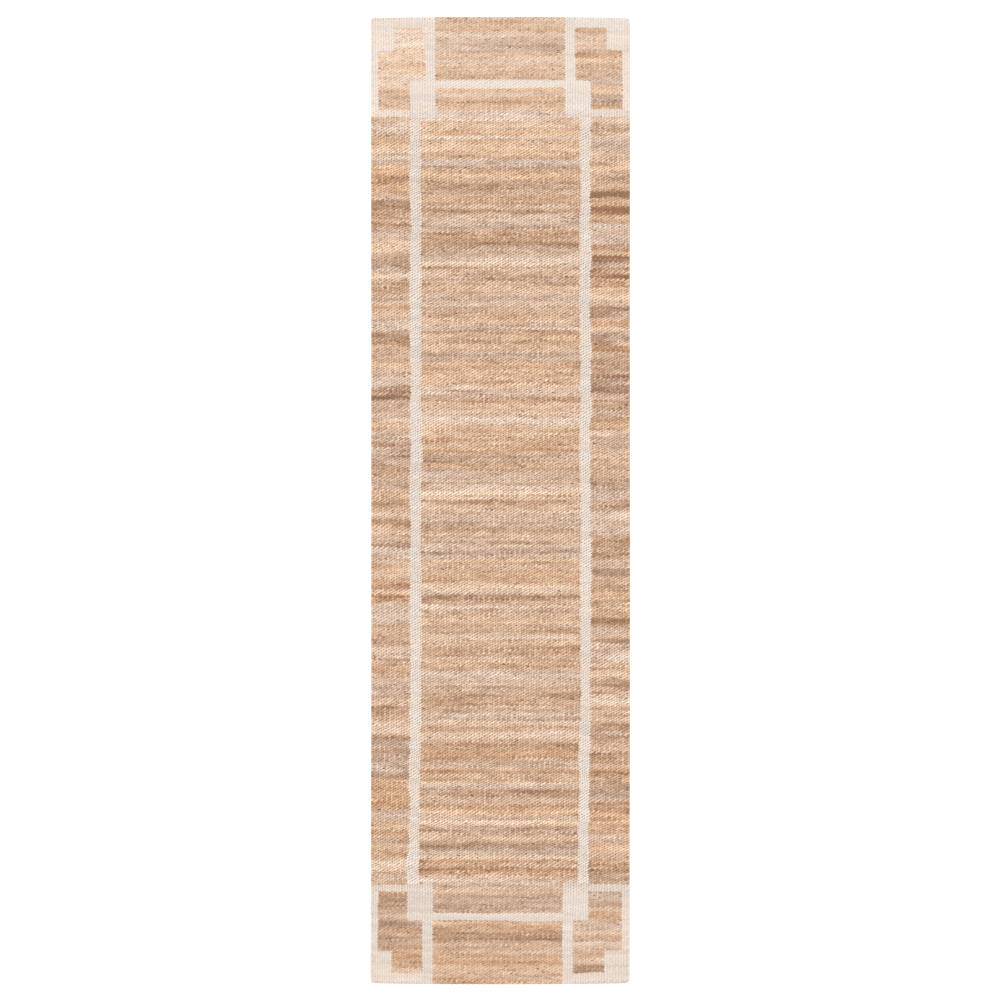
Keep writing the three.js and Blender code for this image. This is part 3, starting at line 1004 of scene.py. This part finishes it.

# %% [markdown]
# ## Jute and ivory yarn
#
# The mesh gives the humps, and the material the yarn. It runs the same yarn_height formula on
# the weave map, finer than the mesh can follow, and finds the same yarn on top. From that come
# painted shade in the creases where two yarns meet, a tone of its own for each hump, fibres that
# lie along the yarn, and the brown flecks of bark that spinning leaves in jute.

# %% The yarn on top, in the material
def top_yarn(warp, pick):
    """Height of the highest of the three yarns near a place, which pick it is, and the warp
    that its hump stands over: every second warp, counted from the pick's own number."""
    middle = pick.maths("FLOOR")
    low_yarn, own_yarn, high_yarn = (
        yarn_height(warp, pick, middle + step, Number.cos, Number.sin) for step in (-1.0, 0.0, 1.0))
    height = low_yarn.larger(own_yarn).larger(high_yarn)
    top = (middle + (high_yarn > low_yarn.larger(own_yarn))
           - (low_yarn > own_yarn.larger(high_yarn)))
    return height, top, ((warp - 0.5 - top) * 0.5).whole() * 2.0 + top


# %% Yarn material
def yarn_finish(name, stops, hues, contrast, crease_shade, calmer, shade_and_bark, roughness, sheen):
    """Colour = ramp(tone of the yarn + hump + fibres), tinted by hue, with painted shade in the
    creases.
    """
    finish = Finish(name, roughness, sheen)
    weave = finish.node("ShaderNodeUVMap", {"uv_map": "weave"}).outputs[0]
    warp, pick, _ = finish.split(weave)
    # Ragged fibres: the outline of each yarn wanders a little.
    ragged = finish.noise(finish.vector(warp * 3.1, pick * 2.9, 0.0), 2.0)
    pick = pick + (ragged - 0.5) * 0.35
    height, top, hump_warp = top_yarn(warp, pick)
    own = finish.scatter(finish.vector(hump_warp, top, 0.0))
    # Fibres lie along the yarn and wind round it: long one way, fine the other.
    along = warp * 1.3 + pick * 0.5
    fibre = finish.noise(finish.vector(along, pick * 9.0 - warp * 2.4, own * 9.0), 3.0, 0.62)
    blotch = finish.noise(finish.vector(warp * 0.8, top * 0.9, 3.0), 2.0)
    lively = finish.attribute("calm") * -calmer + 1.0
    tone = (finish.attribute("yarn_tone")
            + ((own - 0.5) * 0.14 + (fibre - 0.5) * 0.62 + (blotch - 0.5) * 0.40)
            * (lively * contrast))
    colour = finish.ramp(tone, stops)
    hue = finish.attribute("yarn_hue") + (own - 0.5) * 0.25
    tint = finish.ramp(hue, [(0.1, hues[0]), (0.5, (1, 1, 1, 1)), (0.9, hues[1])])
    colour = finish.mix(1.0, colour, tint, "MULTIPLY")
    # Painted shade in the creases: they are deep in some places and closed in others;
    # in ribbed areas they stand upright.
    ribbed = finish.attribute("ribbed")
    rib_place = warp - 0.5 + (ragged - 0.5) * 0.6
    rib_height = (rib_place * (2 * math.pi)).cos() * 0.20 + 0.62
    crease_height = height * (1.0 - ribbed) + rib_height * ribbed
    open_crease = finish.noise(finish.vector(warp * 0.5, pick * 0.85, 29.0), 2.0).ease(0.30, 0.70)
    crease_shade_share = crease_height.ease(0.75, 0.46) * lively * (open_crease * 1.15 + 0.35)
    # Painted shade: the creases are mixed toward a dark brown that stands in for the shade falling
    # between the yarns.
    colour = finish.mix(crease_shade_share * crease_shade, colour, dye(*shade_and_bark[0]))
    # Flecks of bark: short dashes along a pick, in the yarn that has them.
    barky = finish.noise(finish.vector(warp * 0.10, top * 0.33, 17.0), 1.0)
    within = (pick - top) * 1.5 - warp * 0.25
    fleck = finish.noise(finish.vector(warp * 0.42, top * 5.3 + within, 11.0), 1.0)
    fleck = (fleck + (barky - 0.5) * 0.35).ease(shade_and_bark[2], shade_and_bark[2] + 0.06)
    colour = finish.mix(fleck * 0.85, colour, dye(*shade_and_bark[1]))
    return finish.wear(colour, finish.bump(height * 0.5 + fibre * 0.4, 0.0011, 0.7))


# In each call the last tuple holds the painted crease shade colour, the colour of the bark flecks,
# and the level where flecks start.
jute = yarn_finish(
    "jute_yarn",
    [(0.0, dye(152, 112, 82)), (0.25, dye(192, 154, 124)), (0.5, dye(222, 189, 162)),
     (0.75, dye(240, 213, 189)), (1.0, dye(252, 232, 211))],
    ((0.94, 1.0, 1.10, 1), (1.06, 0.97, 0.86, 1)), 0.86, 0.77, 0.42,
    ((118, 80, 54), (92, 66, 46), 0.645), 0.92, 0.2)
ivory = yarn_finish(
    "ivory_yarn",
    [(0.0, dye(200, 184, 170)), (0.3, dye(223, 208, 195)), (0.5, dye(236, 221, 209)),
     (1.0, dye(250, 239, 229))],
    ((0.965, 1.0, 1.045, 1), (1.022, 0.989, 0.93, 1)), 0.7, 0.9, 0.60,
    ((148, 128, 110), (150, 126, 102), 0.74), 0.9, 0.15)
print("nodes in a yarn material:", len(jute.node_tree.nodes))

# %% Thread, cord and hem materials
def twisted_finish(name, light, dark, along_scale):
    """Plied thread: bands that wind round it, from a noise stretched along a diagonal."""
    finish = Finish(name, 0.85, 0.15)
    place = finish.node("ShaderNodeTexCoord").outputs["Object"]
    x, y, z = finish.split(place)
    ply = ((x + z) * along_scale + y * (along_scale * 0.6)).sin()
    fibre = finish.noise(finish.vector(x * 900.0, y * 900.0, z * 900.0), 2.0)
    tone = ply * 0.25 + fibre
    colour = finish.ramp(tone, [(0.2, dye(*dark)), (0.8, dye(*light))])
    return finish.wear(colour, finish.bump(tone, 0.0002))


def web_finish(name, light, dark):
    """Plain web: small checks from two crossed cosines, with fibre noise over them."""
    finish = Finish(name, 0.92, 0.2)
    place = finish.node("ShaderNodeTexCoord").outputs["Object"]
    x, y, z = finish.split(place)
    check = (x * (math.pi / WEB_WARP)).cos() * (y * (math.pi / WEB_PICK)).cos()
    fibre = finish.noise(finish.vector(x * 260.0, y * 1400.0, z * 500.0), 3.0)
    tone = check * 0.2 + fibre
    colour = finish.ramp(tone, [(0.25, dye(*dark)), (0.75, dye(*light))])
    return finish.wear(colour, finish.bump(tone, 0.0004))


cotton = twisted_finish("cotton_warp", (236, 226, 208), (196, 182, 160), 1900.0)
sewing = twisted_finish("sewing_thread", (150, 116, 84), (96, 68, 44), 2600.0)
web = web_finish("hem_web", (214, 182, 152), (168, 132, 100))
print("materials:", jute.name, ivory.name, cotton.name, sewing.name, web.name)

# %% [markdown]
# ## Dress the pieces
#
# Each new piece gets its material, rides on the rug's one body and stands for its plain node,
# which is hidden.

# %% Assign and ride
cell_width, cell_length = warp_pitch / COLUMNS_PER_WARP, pick_pitch / ROWS_PER_PICK


def dress(piece, node, material):
    """Gives a piece its material, and puts it in the place of its plain node."""
    piece.data.materials.append(material)
    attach(piece, "root")
    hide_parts(node)


for node, piece in woven.items():
    is_ivory = node.startswith(IVORY)
    dress(piece, node, ivory if is_ivory else jute)
    r, c = np.nonzero(areas[node])
    flat = (float(np.ptp(c) + 1) * cell_width, float(np.ptp(r) + 1) * cell_length)
    float(len(r)) * cell_width * cell_length
for node, piece in hidden.items():
    dress(piece, node, cotton)
for node, piece in hems.items():
    dress(piece, node, web)
for node, piece in threads.items():
    dress(piece, node, sewing)
print("pieces dressed:", len(woven) + len(hidden) + len(hems) + len(threads))

# %% [markdown]
# ## Studio
#
# A white floor, a bright even surround and one broad sun from beyond the far end draw the
# humps without hard shadows. The camera looks straight down through a long lens.

# %% Floor and light
SUN_STRENGTH = 1.5
SUN_TILT = (math.radians(-46), 0, math.radians(30))
SUN_WIDTH = math.radians(50)
SURROUND_STRENGTH = 1.35
PAPER = ((0.86, 0.86, 0.86, 1), (0.88, 0.88, 0.88, 1))  # darkest and lightest of the floor

bpy.ops.mesh.primitive_plane_add(size=30, location=(0, 0, -0.0002))
floor = bpy.context.object
floor.name = "floor"
paper = Finish("white_floor", 0.95, 0.0)
grain = paper.noise(paper.node("ShaderNodeTexCoord").outputs["Object"], 1.0)
paper.wear(paper.ramp(grain, [(0.0, PAPER[0]), (1.0, PAPER[1])]))
floor.data.materials.append(paper.material)

sun = bpy.data.objects.new("sun", bpy.data.lights.new("sun", "SUN"))
sun.data.energy = SUN_STRENGTH
sun.data.angle = SUN_WIDTH
sun.rotation_euler = SUN_TILT
bpy.context.scene.collection.objects.link(sun)

world = bpy.data.worlds.new("studio")
bpy.context.scene.world = world
world.use_nodes = True
world.node_tree.nodes["Background"].inputs["Color"].default_value = (1, 1, 1, 1)
world.node_tree.nodes["Background"].inputs["Strength"].default_value = SURROUND_STRENGTH
bpy.context.scene.view_settings.view_transform = "Standard"
print("sun and surround:", SUN_STRENGTH, SURROUND_STRENGTH)

# %% Camera
LENS = 85
SENSOR = 36
FRAME_WIDTH = 3.1                    # metres of floor across the picture
camera = bpy.data.objects.new("camera", bpy.data.cameras.new("camera"))
camera.data.lens = LENS
camera.data.sensor_width = SENSOR
camera.location = (0.0, 0.0015, high[2] + FRAME_WIDTH * LENS / SENSOR)
camera.data.clip_end = 100
bpy.context.scene.collection.objects.link(camera)
bpy.context.scene.camera = camera
print("camera height, m:", round(camera.location.z, 3))
